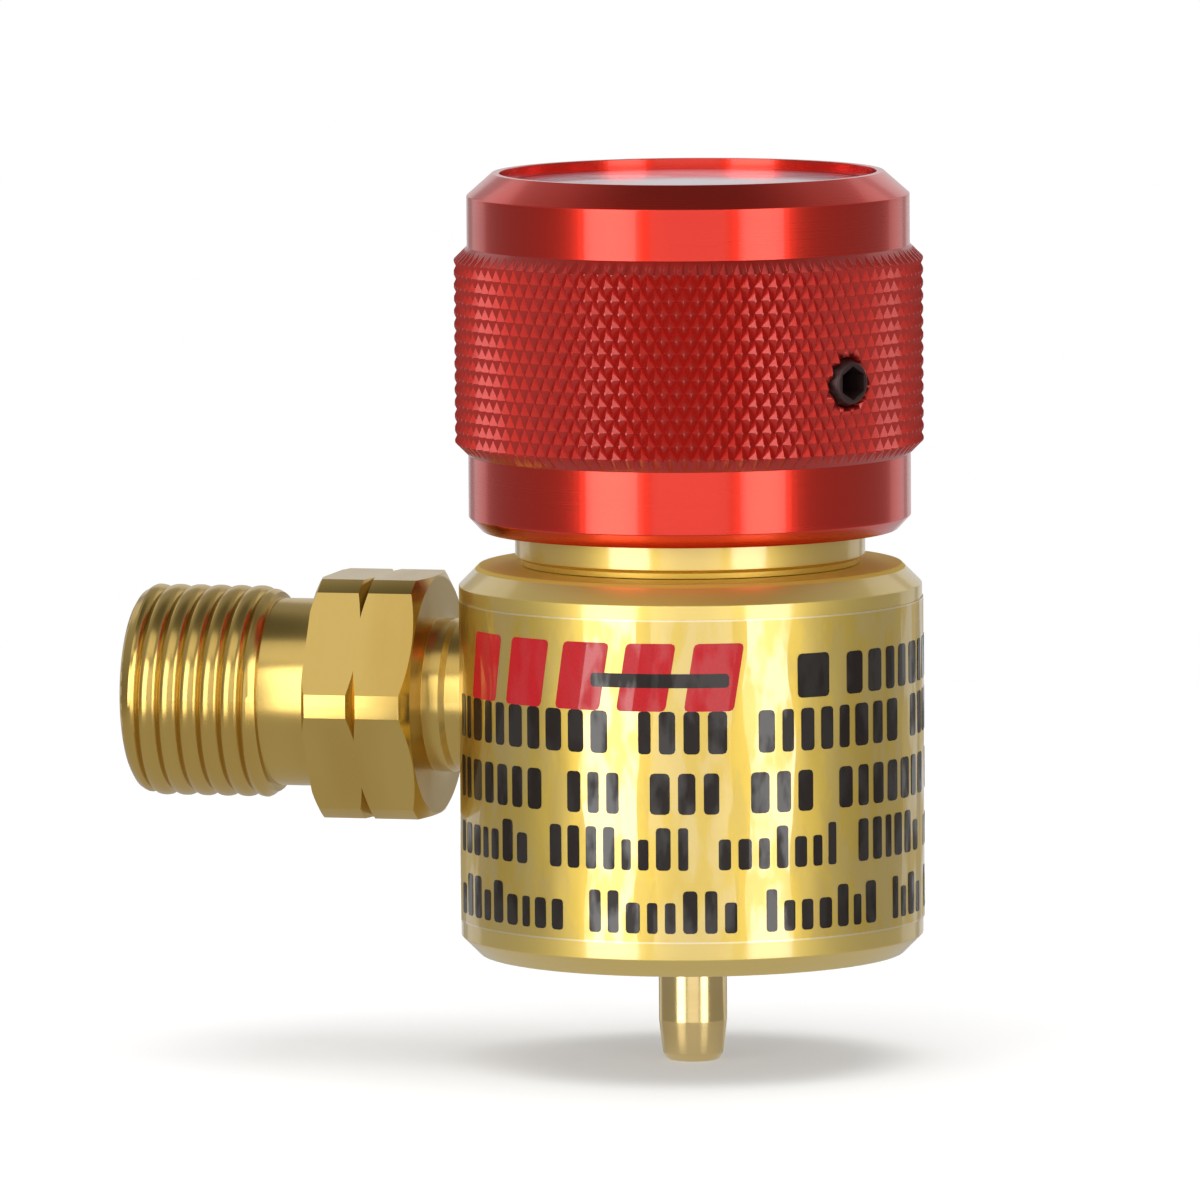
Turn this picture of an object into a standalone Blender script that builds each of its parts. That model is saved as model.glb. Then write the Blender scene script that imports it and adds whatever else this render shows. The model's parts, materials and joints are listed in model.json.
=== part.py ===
"""Compact gas pressure regulator that screws onto a disposable cylinder.

Metres, +Z up. The origin is the centre of the body's bottom face, where the cylinder
socket opens, and +Z runs up the body's axis to the adjusting knob. The side outlet
points along -X. Every profile below is a list of (radius, height) in millimetres,
turned about its own axis; MM turns them into metres.
"""
import math

import bmesh
import bpy
from mathutils import Matrix

MM = 0.001
ROUND = 36                      # sides of the large turned pieces, a multiple of 4 and 6
SMALL = 20                      # sides of the small turned pieces
SEAT = 0.05                     # gap left between faces that rest on each other, mm

# body and cylinder socket
BODY_R = 15.875
BODY_H = 26.7
SHOULDER_R = 14.5
SOCKET_MINOR_R = 12.0           # 1 in - 20 internal thread
SOCKET_MAJOR_R = 12.7
SOCKET_PITCH = 1.27
SOCKET_DEPTH = 10.5
CHAMBER_R = 8.2
CHAMBER_FLOOR = 15.8
LEDGE_Z = 19.1
SPIGOT_BORE_R = 10.05

# side outlet
OUTLET_Z = 17.3
PORT_R = 5.2
PORT_DEPTH_R = 10.9             # distance from the body's axis to the port's blind end
PILOT_R = 1.5
SHANK_R = 5.1
COLLAR_R = 5.3
HEX_FLAT_R = 8.25
HEX_CORNER_R = 9.1
OUTLET_END_X = -38.9
OUTLET_MAJOR_R = 7.145          # 9/16 in - 18 external thread, left hand
OUTLET_MINOR_R = 6.3
OUTLET_PITCH = 25.4 / 18
NIPPLE_BORE_R = 3.05

# bonnet and knob, which share the adjusting thread
BONNET_Z = BODY_H + SEAT
NECK_R = 12.0
BONNET_BORE_R = 7.6
ADJUST_PITCH = 1.5
ADJUST_ROOT_R = 9.95
ADJUST_CREST_R = 10.9
ADJUST_CLEARANCE = 0.25
ADJUST_START_Z = 30.6
STOP_GROOVE_R = 9.0
KNOB_Z = 29.1
KNOB_H = 24.5
KNOB_BAND_R = 15.15
KNURL_R = 16.05
SCREW_Z = 40.0
SCREW_TURN = math.radians(-33.0)    # from +X about +Z
SCREW_HOLE_R = 1.95
TRAVEL_DOWN = 2.0
TRAVEL_UP = 1.0

# valve parts
PISTON_Z = 18.6
PISTON_R = 7.45
NOZZLE_Z = 16.15
POPPET_Z = 11.95
PIN_R = 2.35
PIN_TIP_Z = -7.55
BUTTON_Z = 40.8
BALL_R = 2.5
BALL_Z = 45.3


class Thread:
    """A right-hand helical stretch of a profile.

    The root is the radius at both ends: the small one on a male thread, the large one on a
    female. It lies at the phase height where the angle is 0.
    """

    def __init__(self, z_low, z_high, root_r, crest_r, pitch, phase=0.0, lead=0.6):
        self.z_low = z_low
        self.z_high = z_high
        self.root_r = root_r
        self.crest_r = crest_r
        self.pitch = pitch
        self.phase = phase
        self.lead = lead

    def rows(self, sides):
        """Rings from the low end to the high end, and the row shift of one turn."""
        step = self.pitch / 2
        first = math.floor((self.z_low - self.phase) / step) - 2
        last = math.ceil((self.z_high - self.phase) / step) + 1
        grid = []
        for index in range(first, last + 1):
            row = []
            for side in range(sides):
                angle = 2 * math.pi * side / sides
                z = self.phase + index * step + self.pitch * side / sides
                z = min(max(z, self.z_low), self.z_high)
                reach = min(z - self.z_low, self.z_high - z) / self.lead
                depth = (index % 2) * min(reach, 1.0)
                radius = self.root_r + (self.crest_r - self.root_r) * depth
                row.append((radius * math.cos(angle), radius * math.sin(angle), z))
            grid.append(row)
        return grid


def ring_points(radius, z, sides):
    """One ring. The radius is a number or a function of the angle."""
    points = []
    for side in range(sides):
        angle = 2 * math.pi * side / sides
        r = radius(angle) if callable(radius) else radius
        points.append((r * math.cos(angle), r * math.sin(angle), z))
    return points


def turned_mesh(name, profile, sides, closed=True):
    """A closed solid turned about Z from a profile of (radius, z) pairs and threads.

    A tube's profile is closed, back to its first ring. A solid one starts and ends on
    the axis, with radius 0.
    """
    mesh = bmesh.new()
    first = previous = None
    for item in profile:
        downhill = isinstance(item, tuple) and item[0] == "down"
        thread = item[1] if downhill else item
        if isinstance(thread, Thread):
            rows = [[mesh.verts.new(p) for p in row] for row in thread.rows(sides)]
            helical_faces(mesh, rows, sides)
            low, high = rows[0], rows[-1]
            entry, leave = (high, low) if downhill else (low, high)
        else:
            entry = leave = [mesh.verts.new(p) for p in ring_points(*item, sides)]
        if previous:
            join_rings(mesh, previous, entry)
        first = first or entry
        previous = leave
    if closed:
        join_rings(mesh, previous, first)
    return finish_mesh(mesh, name)


def join_rings(mesh, lower, upper):
    sides = len(lower)
    for side in range(sides):
        after = (side + 1) % sides
        mesh.faces.new((lower[side], lower[after], upper[after], upper[side]))


def helical_faces(mesh, rows, sides):
    """Faces between the rows. One turn climbs two rows, so the last side joins two up."""
    for low in range(len(rows) - 1):
        for side in range(sides):
            after = (side + 1) % sides
            climb = 2 if after == 0 else 0
            a = rows[min(low + climb, len(rows) - 1)][after]
            b = rows[min(low + 1 + climb, len(rows) - 1)][after]
            corners = [rows[low][side], a, b, rows[low + 1][side]]
            if a is not b:
                mesh.faces.new(corners)
            else:
                mesh.faces.new((corners[0], a, corners[3]))


def finish_mesh(mesh, name):
    """Merges what coincides, turns the faces outwards and scales to metres."""
    bmesh.ops.remove_doubles(mesh, verts=mesh.verts, dist=1e-4)
    bmesh.ops.dissolve_degenerate(mesh, dist=1e-5, edges=mesh.edges)
    bmesh.ops.recalc_face_normals(mesh, faces=mesh.faces)
    bmesh.ops.scale(mesh, vec=(MM, MM, MM), verts=mesh.verts)
    data = bpy.data.meshes.new(name)
    mesh.to_mesh(data)
    mesh.free()
    data.shade_smooth()
    data.set_sharp_from_angle(angle=math.radians(35))
    return data


def coil_mesh(name, mean_r, wire_r, length, turns, steps, sides):
    """A compression spring with closed end turns, its wire a ring of a few sides."""
    mesh = bmesh.new()
    total = int(turns * steps)
    dead = 0.75 / turns
    rise = length - 2 * wire_r - 2 * 2 * wire_r * 0.75
    rings = []
    for step in range(total + 1):
        share = step / total
        angle = 2 * math.pi * turns * share
        open_share = min(max((share - dead) / (1 - 2 * dead), 0.0), 1.0)
        closed = min(share, dead) + max(share - (1 - dead), 0.0)
        z = wire_r + rise * open_share + closed * turns * 2.0 * wire_r
        ring = []
        for side in range(sides):
            around = 2 * math.pi * side / sides
            r = mean_r + wire_r * 0.97 * math.cos(around)
            z_here = z + wire_r * 0.97 * math.sin(around)
            ring.append(mesh.verts.new((r * math.cos(angle), r * math.sin(angle), z_here)))
        rings.append(ring)
    for lower, upper in zip(rings, rings[1:]):
        join_rings(mesh, lower, upper)
    mesh.faces.new(rings[0])
    mesh.faces.new(rings[-1])
    return finish_mesh(mesh, name)


def ring_seal_mesh(name, centre_r, section_r, sides, around_sides=8):
    """An O-ring lying about z = 0."""
    profile = []
    for side in range(around_sides):
        angle = 2 * math.pi * side / around_sides
        profile.append((centre_r + section_r * math.cos(angle), section_r * math.sin(angle)))
    return turned_mesh(name, profile, sides)


def flat_ring(inner_r, outer_r, height):
    return [(inner_r, 0), (outer_r, 0), (outer_r, height), (inner_r, height)]


def material(name, colour, roughness, metallic):
    made = bpy.data.materials.new(name)
    made.use_nodes = True
    shader = made.node_tree.nodes["Principled BSDF"]
    shader.inputs["Base Color"].default_value = (*colour, 1.0)
    shader.inputs["Roughness"].default_value = roughness
    shader.inputs["Metallic"].default_value = metallic
    return made


def place(name, data, look, z=0.0, parent=None):
    """Puts a piece at its height in mm, below its parent empty where it has one."""
    piece = bpy.data.objects.new(name, data)
    bpy.context.collection.objects.link(piece)
    piece.data.materials.append(look)
    base = 0.0
    if parent:
        piece.parent = parent
        base = parent.location.z / MM
    piece.location.z = (z - base) * MM
    return piece


def axis_empty(name, z):
    empty = bpy.data.objects.new(name, None)
    bpy.context.collection.objects.link(empty)
    empty.location.z = z * MM
    return empty


def cut(piece, cutter):
    """Takes the cutter out of the piece."""
    cutter.hide_render = True
    cutter.display_type = "WIRE"
    modifier = piece.modifiers.new("cut_" + cutter.name, "BOOLEAN")
    modifier.operation = "DIFFERENCE"
    modifier.solver = "EXACT"
    modifier.object = cutter


def cutter(name, profile, sides, matrix):
    tool = bpy.data.objects.new(name, turned_mesh(name, profile, sides, closed=False))
    bpy.context.collection.objects.link(tool)
    tool.matrix_world = matrix
    return tool


def radial(turn, z):
    """A frame whose +Z points out from the axis, at an angle from +X, at a height in mm."""
    facing = Matrix.Rotation(turn, 4, "Z") @ Matrix.Rotation(math.pi / 2, 4, "Y")
    return Matrix.Translation((0, 0, z * MM)) @ facing


def rod(radius, low, high):
    return [(0, low), (radius, low), (radius, high), (0, high)]


def body_piece(look):
    rim_r = BODY_R - 1.245
    mouth_r = SOCKET_MAJOR_R + 0.5
    relief_r = SOCKET_MAJOR_R + 0.2
    socket_thread = Thread(0.6, SOCKET_DEPTH - 1.6, SOCKET_MAJOR_R, SOCKET_MINOR_R, SOCKET_PITCH)
    profile = [
        (mouth_r, 0),
        (rim_r, 0),
        (BODY_R, 1.245),
        (BODY_R, BODY_H - 1.375),
        (SHOULDER_R, BODY_H),
        (SPIGOT_BORE_R + 0.3, BODY_H),
        (SPIGOT_BORE_R, BODY_H - 0.3),
        (SPIGOT_BORE_R, LEDGE_Z),
        (CHAMBER_R, LEDGE_Z),
        (CHAMBER_R, CHAMBER_FLOOR),
        (3.75, CHAMBER_FLOOR),
        (3.75, 13.1),
        (2.6, 13.1),
        (2.6, 12.7),
        (3.15, 12.7),
        (3.15, SOCKET_DEPTH),
        (relief_r, SOCKET_DEPTH),
        (relief_r, SOCKET_DEPTH - 1.4),
        ("down", socket_thread),
    ]
    body = place("body", turned_mesh("body", profile, ROUND), look)
    port = [
        (0, CHAMBER_R - 1.0),
        (PILOT_R, CHAMBER_R - 1.0),
        (PILOT_R, PORT_DEPTH_R),
        (PORT_R, PORT_DEPTH_R),
        (PORT_R, BODY_R + 1.5),
        (0, BODY_R + 1.5),
    ]
    half_side = Matrix.Rotation(math.pi / ROUND, 4, "Z")
    cut(body, cutter("port_tool", port, ROUND, radial(math.pi, OUTLET_Z) @ half_side))
    return body


def bonnet_piece(look):
    """The fixed sleeve. Its heights are above its shoulder."""
    lift = BONNET_Z
    thread = Thread(
        ADJUST_START_Z - lift,
        36.6 - lift,
        ADJUST_ROOT_R,
        ADJUST_CREST_R,
        ADJUST_PITCH,
        phase=ADJUST_START_Z - lift,
    )
    low_stop = SCREW_Z - TRAVEL_DOWN - 1.15 - lift
    high_stop = SCREW_Z + TRAVEL_UP + 1.15 - lift
    profile = [
        (BONNET_BORE_R, 19.8 - lift),
        (9.5, 19.8 - lift),
        (9.95, 20.25 - lift),
        (9.95, -0.6),
        (9.6, -0.6),
        (9.6, 0),
        (11.6, 0),
        (11.6, 0.4),
        (NECK_R, 0.6),
        (NECK_R, 3.1),
        (NECK_R - 0.25, 3.3),
        (ADJUST_ROOT_R, 3.6),
        thread,
        (STOP_GROOVE_R, low_stop),
        (STOP_GROOVE_R, high_stop),
        (10.1, high_stop),
        (10.1, 17.4),
        (9.75, 17.75),
        (8.1, 17.75),
        (BONNET_BORE_R, 17.25),
    ]
    return place("bonnet", turned_mesh("bonnet", profile, ROUND), look, lift)


def knob_piece(look, parent):
    """The turned cup. Its heights are above its bottom face."""
    thread = Thread(
        32.5 - KNOB_Z,
        38.3 - KNOB_Z,
        ADJUST_CREST_R + ADJUST_CLEARANCE,
        ADJUST_ROOT_R + ADJUST_CLEARANCE,
        ADJUST_PITCH,
        phase=ADJUST_START_Z + ADJUST_PITCH / 2 - KNOB_Z,
        lead=0.4,
    )
    profile = [
        (0, KNOB_H - 1.2),
        (12.9, KNOB_H - 1.2),
        (12.9, KNOB_H),
        (13.4, KNOB_H),
        (KNOB_BAND_R, KNOB_H - 1.6),
        (KNOB_BAND_R, 19.6),
        (KNURL_R, 18.6),
        (KNURL_R, 6.1),
        (KNOB_BAND_R, 5.1),
        (KNOB_BAND_R, 0.95),
        (14.25, 0),
        (12.6, 0),
        (12.25, 0.35),
        (12.25, 3.2),
        thread,
        (11.2, 9.5),
        (11.2, 19.1),
        (5.5, 19.1),
        (5.5, 17.7),
        (2.92, 17.7),
        (0, 19.05),
    ]
    mesh = turned_mesh("knob", profile, ROUND, closed=False)
    knob = place("knob", mesh, look, KNOB_Z, parent)
    hole = cutter("screw_tool", rod(SCREW_HOLE_R, 10.6, 17.5), 24, radial(SCREW_TURN, SCREW_Z))
    cut(knob, hole)
    return knob


def knob_disc_piece(look, parent):
    profile = [(0, 0), (12.65, 0), (12.65, 0.35), (12.4, 0.45), (0, 0.5)]
    mesh = turned_mesh("knob_disc", profile, ROUND, closed=False)
    return place("knob_disc", mesh, look, KNOB_Z + KNOB_H - 1.15, parent)


def set_screw_piece(look, parent):
    """A dog-point socket screw, its heights measured out from the knob's axis."""

    def socket(angle):
        sixth = math.pi / 3
        return 1.0 / math.cos((angle % sixth) - sixth / 2)

    profile = [
        (0, 9.3),
        (0.85, 9.3),
        (1.0, 9.45),
        (1.0, 10.9),
        (1.7, 11.3),
        (1.7, 15.8),
        (1.35, 16.2),
        (socket, 16.2),
        (socket, 14.0),
        (0, 13.6),
    ]
    mesh = turned_mesh("knob_set_screw", profile, 24, closed=False)
    screw = place("knob_set_screw", mesh, look, 0, parent)
    screw.matrix_local = Matrix.Translation((0, 0, -parent.location.z)) @ radial(SCREW_TURN, SCREW_Z)
    return screw


def outlet_piece(look):
    """The side fitting, turned along its own +Z, which points along -X."""

    def hexagon(cap):
        def radius(angle):
            sixth = math.pi / 3
            flat = HEX_FLAT_R / math.cos((angle + sixth / 2) % sixth - sixth / 2)
            return min(flat, cap)
        return radius

    end = -OUTLET_END_X
    thread = Thread(29.3, end - 0.1, OUTLET_MINOR_R, OUTLET_MAJOR_R, OUTLET_PITCH, lead=0.8)
    profile = [
        (2.2, PORT_DEPTH_R + 0.1),
        (SHANK_R - 0.3, PORT_DEPTH_R + 0.1),
        (SHANK_R, PORT_DEPTH_R + 0.5),
        (SHANK_R, 16.3),
        (COLLAR_R, 16.7),
        (COLLAR_R, 17.85),
        (hexagon(8.0), 17.85),
        (hexagon(HEX_CORNER_R), 18.9),
        (hexagon(HEX_CORNER_R), 24.6),
        (hexagon(8.2), 25.4),
        (6.35, 25.4),
        (6.35, 29.2),
        thread,
        (OUTLET_MINOR_R - 0.05, end),
        (5.4, end),
        (NIPPLE_BORE_R, end - 4.0),
        (NIPPLE_BORE_R, end - 9.0),
        (2.2, end - 9.6),
    ]
    mesh = turned_mesh("outlet_fitting", profile, ROUND)
    mesh.transform(Matrix.Diagonal((1, -1, 1, 1)))
    mesh.flip_normals()
    fitting = place("outlet_fitting", mesh, look)
    fitting.matrix_world = radial(math.pi, OUTLET_Z)
    return fitting


def label_piece(look):
    """The clear film, wrapped round the body with its two ends either side of the outlet."""
    inner_r = BODY_R + 0.03
    outer_r = BODY_R + 0.1
    low = 2.4
    high = 24.4
    step = 2 * math.pi / ROUND
    first = ROUND // 2 + 2
    count = ROUND - 4
    mesh = bmesh.new()
    sections = []
    for side in range(first, first + count + 1):
        angle = side * step
        corners = []
        for r, z in ((inner_r, low), (outer_r, low), (outer_r, high), (inner_r, high)):
            corners.append(mesh.verts.new((r * math.cos(angle), r * math.sin(angle), z)))
        sections.append(corners)
    for near, far in zip(sections, sections[1:]):
        join_rings(mesh, near, far)
    mesh.faces.new(sections[0])
    mesh.faces.new(sections[-1])
    return place("body_label", finish_mesh(mesh, "body_label"), look)


def inlet_pin_piece(look):
    """The post that opens the cylinder's valve, cross-drilled to let the gas in."""
    profile = [
        (0, PIN_TIP_Z),
        (1.5, PIN_TIP_Z),
        (1.9, PIN_TIP_Z + 0.25),
        (2.05, PIN_TIP_Z + 0.6),
        (PIN_R, PIN_TIP_Z + 1.7),
        (PIN_R, 8.4),
        (4.6, 8.4),
        (4.6, 9.8),
        (3.05, 9.8),
        (3.05, 12.35),
        (1.9, 12.35),
        (1.9, 8.6),
        (0.8, 8.6),
        (0.8, 5.6),
        (0, 5.3),
    ]
    pin = place("inlet_pin", turned_mesh("inlet_pin", profile, SMALL, closed=False), look)
    cut(pin, cutter("cross_tool", rod(0.65, -4, 4), 12, radial(0, 6.7)))
    return pin


def piston_piece(look, parent):
    profile = [
        (0, 0),
        (6.9, 0),
        (PISTON_R, 0.5),
        (PISTON_R, 2.2),
        (6.05, 2.2),
        (6.05, 4.1),
        (PISTON_R, 4.1),
        (PISTON_R, 5.0),
        (7.1, 5.4),
        (4.3, 5.4),
        (4.3, 7.4),
        (3.9, 7.8),
        (2.2, 7.8),
        (2.2, 2.6),
        (0, 2.4),
    ]
    return place("piston", turned_mesh("piston", profile, ROUND, closed=False), look, PISTON_Z, parent)


def poppet_piece(look, parent):
    profile = [
        (0, 0),
        (1.35, 0),
        (1.5, 0.15),
        (1.5, 1.45),
        (0.55, 2.4),
        (0.55, 6.55),
        (0, 6.6),
    ]
    return place("poppet", turned_mesh("poppet", profile, SMALL, closed=False), look, POPPET_Z, parent)


def nozzle_piece(look):
    profile = [
        (0.95, 1.0),
        (4.2, 1.0),
        (4.5, 0.7),
        (4.5, 0),
        (3.6, 0),
        (3.6, -2.6),
        (3.3, -2.9),
        (2.15, -2.9),
        (2.15, -1.45),
        (0.95, -1.45),
    ]
    nozzle = place("valve_nozzle", turned_mesh("valve_nozzle", profile, SMALL), look, NOZZLE_Z)
    return nozzle


def button_piece(look, parent):
    """The plate that presses the range spring, with a spigot inside the spring."""
    profile = [
        (0, -3.3),
        (3.9, -3.3),
        (4.3, -2.9),
        (4.3, 0),
        (7.4, 0),
        (7.4, 2.4),
        (7.0, 2.8),
        (2.49, 2.8),
        (0, 1.65),
    ]
    mesh = turned_mesh("spring_button", profile, ROUND, closed=False)
    return place("spring_button", mesh, look, BUTTON_Z, parent)


def ball_piece(look, parent):
    rows = 10
    profile = []
    for row in range(rows + 1):
        angle = math.pi * row / rows
        profile.append((BALL_R * math.sin(angle), -BALL_R * math.cos(angle)))
    mesh = turned_mesh("thrust_ball", profile, SMALL, closed=False)
    return place("thrust_ball", mesh, look, BALL_Z, parent)


def housing(looks):
    """Everything that stays still with the body."""
    body_piece(looks["gold_anodised"])
    bonnet_piece(looks["gold_anodised"])
    label_piece(looks["film"])
    outlet_piece(looks["brass"])
    inlet_pin_piece(looks["brass"])
    nozzle_piece(looks["brass"])
    gasket = turned_mesh("socket_gasket", flat_ring(5.0, 12.5, 1.25), ROUND)
    place("socket_gasket", gasket, looks["rubber"], SOCKET_DEPTH - 1.3)
    bonnet_gasket = turned_mesh("bonnet_gasket", flat_ring(8.3, 9.9, 0.6), ROUND)
    place("bonnet_gasket", bonnet_gasket, looks["polymer"], LEDGE_Z + SEAT)
    pin_seal = ring_seal_mesh("inlet_pin_o_ring", 3.85, 0.3, SMALL, 6)
    place("inlet_pin_o_ring", pin_seal, looks["rubber"], 10.15)
    screen = turned_mesh("inlet_filter", rod(1.8, 0, 1.0), SMALL, closed=False)
    place("inlet_filter", screen, looks["sintered_bronze"], 8.65)
    washer = turned_mesh("nozzle_washer", flat_ring(3.7, 4.7, 0.25), SMALL)
    place("nozzle_washer", washer, looks["copper"], CHAMBER_FLOOR + SEAT)
    seat = turned_mesh("valve_seat", flat_ring(0.95, 2.1, 0.65), SMALL)
    place("valve_seat", seat, looks["polymer"], 14.0)
    closing_spring = coil_mesh("poppet_spring", 1.3, 0.18, 2.15, 4, 12, 6)
    place("poppet_spring", closing_spring, looks["spring_steel"], 9.72)


def valve_gear(looks):
    """The piston and what moves with it."""
    axis = axis_empty("valve_axis", PISTON_Z)
    piston_piece(looks["brass"], axis)
    ring = ring_seal_mesh("piston_o_ring", 6.8, 0.72, ROUND)
    place("piston_o_ring", ring, looks["rubber"], PISTON_Z + 3.15, axis)
    poppet_piece(looks["stainless"], axis)


def spring_carrier(looks):
    """What the knob pushes down without turning it."""
    axis = axis_empty("carrier_axis", BUTTON_Z)
    button_piece(looks["brass"], axis)
    ball_piece(looks["stainless"], axis)
    washer = turned_mesh("spring_washer", flat_ring(4.5, 7.2, 0.5), ROUND)
    place("spring_washer", washer, looks["stainless"], BUTTON_Z - SEAT - 0.5, axis)
    spring = coil_mesh("range_spring", 6.0, 0.8, 16.1, 6.5, 16, 6)
    place("range_spring", spring, looks["spring_steel"], 24.08, axis)


def adjuster(looks):
    """The knob and what turns with it."""
    axis = axis_empty("adjuster_axis", KNOB_Z)
    knob_piece(looks["red_anodised"], axis)
    knob_disc_piece(looks["disc"], axis)
    set_screw_piece(looks["black_oxide"], axis)


def make_looks():
    return {
        "gold_anodised": material("gold_anodised", (0.78, 0.62, 0.27), 0.28, 1.0),
        "red_anodised": material("red_anodised", (0.62, 0.02, 0.03), 0.3, 1.0),
        "brass": material("brass", (0.72, 0.5, 0.18), 0.22, 1.0),
        "copper": material("copper", (0.75, 0.4, 0.28), 0.35, 1.0),
        "sintered_bronze": material("sintered_bronze", (0.5, 0.34, 0.18), 0.8, 0.8),
        "stainless": material("stainless", (0.62, 0.62, 0.6), 0.25, 1.0),
        "spring_steel": material("spring_steel", (0.45, 0.45, 0.46), 0.3, 1.0),
        "black_oxide": material("black_oxide", (0.02, 0.02, 0.02), 0.45, 0.7),
        "rubber": material("rubber", (0.02, 0.02, 0.02), 0.7, 0.0),
        "polymer": material("polymer", (0.85, 0.83, 0.78), 0.5, 0.0),
        "film": material("film", (0.85, 0.75, 0.5), 0.15, 0.0),
        "disc": material("disc", (0.35, 0.25, 0.3), 0.25, 0.0),
    }


def main():
    for thing in list(bpy.data.objects):
        bpy.data.objects.remove(thing, do_unlink=True)
    looks = make_looks()
    housing(looks)
    valve_gear(looks)
    spring_carrier(looks)
    adjuster(looks)


main()
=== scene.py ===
"""Looks of a compact gas pressure regulator: a knurled red knob on a gold turned body.

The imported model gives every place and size. The pieces here are turned, threaded and
knurled at full detail and ride on the same bodies. Lengths are millimetres until a mesh
is finished, where MM turns them into metres.
"""
from __future__ import annotations

import json
import logging
import math
from collections.abc import Callable, Sequence
from dataclasses import dataclass
from enum import Enum

import bmesh
import bpy
import numpy as np
from mathutils import Matrix, Vector

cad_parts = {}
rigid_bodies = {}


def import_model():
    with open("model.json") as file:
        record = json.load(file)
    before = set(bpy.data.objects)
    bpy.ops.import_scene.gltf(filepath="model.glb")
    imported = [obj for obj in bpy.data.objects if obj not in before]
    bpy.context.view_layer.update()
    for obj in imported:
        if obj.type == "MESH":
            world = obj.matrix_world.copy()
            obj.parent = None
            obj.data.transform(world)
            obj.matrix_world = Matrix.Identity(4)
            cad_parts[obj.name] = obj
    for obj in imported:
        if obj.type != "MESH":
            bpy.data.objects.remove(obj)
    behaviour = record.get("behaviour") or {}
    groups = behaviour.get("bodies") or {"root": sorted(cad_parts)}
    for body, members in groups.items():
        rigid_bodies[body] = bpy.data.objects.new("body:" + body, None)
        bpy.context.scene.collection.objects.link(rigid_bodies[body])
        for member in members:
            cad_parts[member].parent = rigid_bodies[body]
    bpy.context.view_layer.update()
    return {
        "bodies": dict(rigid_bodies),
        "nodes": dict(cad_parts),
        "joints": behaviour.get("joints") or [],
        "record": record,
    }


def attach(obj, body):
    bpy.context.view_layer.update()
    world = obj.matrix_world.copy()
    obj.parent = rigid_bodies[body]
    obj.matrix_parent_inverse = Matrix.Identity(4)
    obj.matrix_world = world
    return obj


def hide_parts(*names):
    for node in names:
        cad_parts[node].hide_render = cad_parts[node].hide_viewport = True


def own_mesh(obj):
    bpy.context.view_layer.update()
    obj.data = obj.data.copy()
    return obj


LOG = logging.getLogger("regulator")
MM = 0.001
Profile = Sequence[tuple[float, ...]]


class Axis(Enum):
    """The axis that a piece is turned about."""

    UP = "Z"
    SIDE = "X"


class Body(Enum):
    """The moving bodies of the frame."""

    HOUSING = "housing"
    VALVE = "valve_gear"
    CARRIER = "spring_carrier"
    KNOB = "knob_group"


# ---------------------------------------------------------------- shader expressions


class Value:
    """A number socket that is used in expressions."""

    def __init__(self, graph: Graph, socket: bpy.types.NodeSocket) -> None:
        """Wraps a socket of a graph's node."""
        self.graph = graph
        self.socket = socket

    def __add__(self, other: Number) -> Value:
        """self + other."""
        return self.graph.math("ADD", self, other)

    def __radd__(self, other: Number) -> Value:
        """other + self."""
        return self.graph.math("ADD", other, self)

    def __sub__(self, other: Number) -> Value:
        """self - other."""
        return self.graph.math("SUBTRACT", self, other)

    def __rsub__(self, other: Number) -> Value:
        """other - self."""
        return self.graph.math("SUBTRACT", other, self)

    def __mul__(self, other: Number) -> Value:
        """self * other."""
        return self.graph.math("MULTIPLY", self, other)

    def __rmul__(self, other: Number) -> Value:
        """other * self."""
        return self.graph.math("MULTIPLY", other, self)

    def __truediv__(self, other: Number) -> Value:
        """self / other."""
        return self.graph.math("DIVIDE", self, other)

    def __pow__(self, other: Number) -> Value:
        """self to the power of other."""
        return self.graph.math("POWER", self, other)

    def __gt__(self, other: Number) -> Value:
        """1 where self is over other, else 0."""
        return self.graph.math("GREATER_THAN", self, other)

    def __lt__(self, other: Number) -> Value:
        """1 where self is under other, else 0."""
        return self.graph.math("LESS_THAN", self, other)

    def clamped(self) -> Value:
        """self held between 0 and 1."""
        return self.graph.math("MINIMUM", self.graph.math("MAXIMUM", self, 0.0), 1.0)


Number = Value | float


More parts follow.
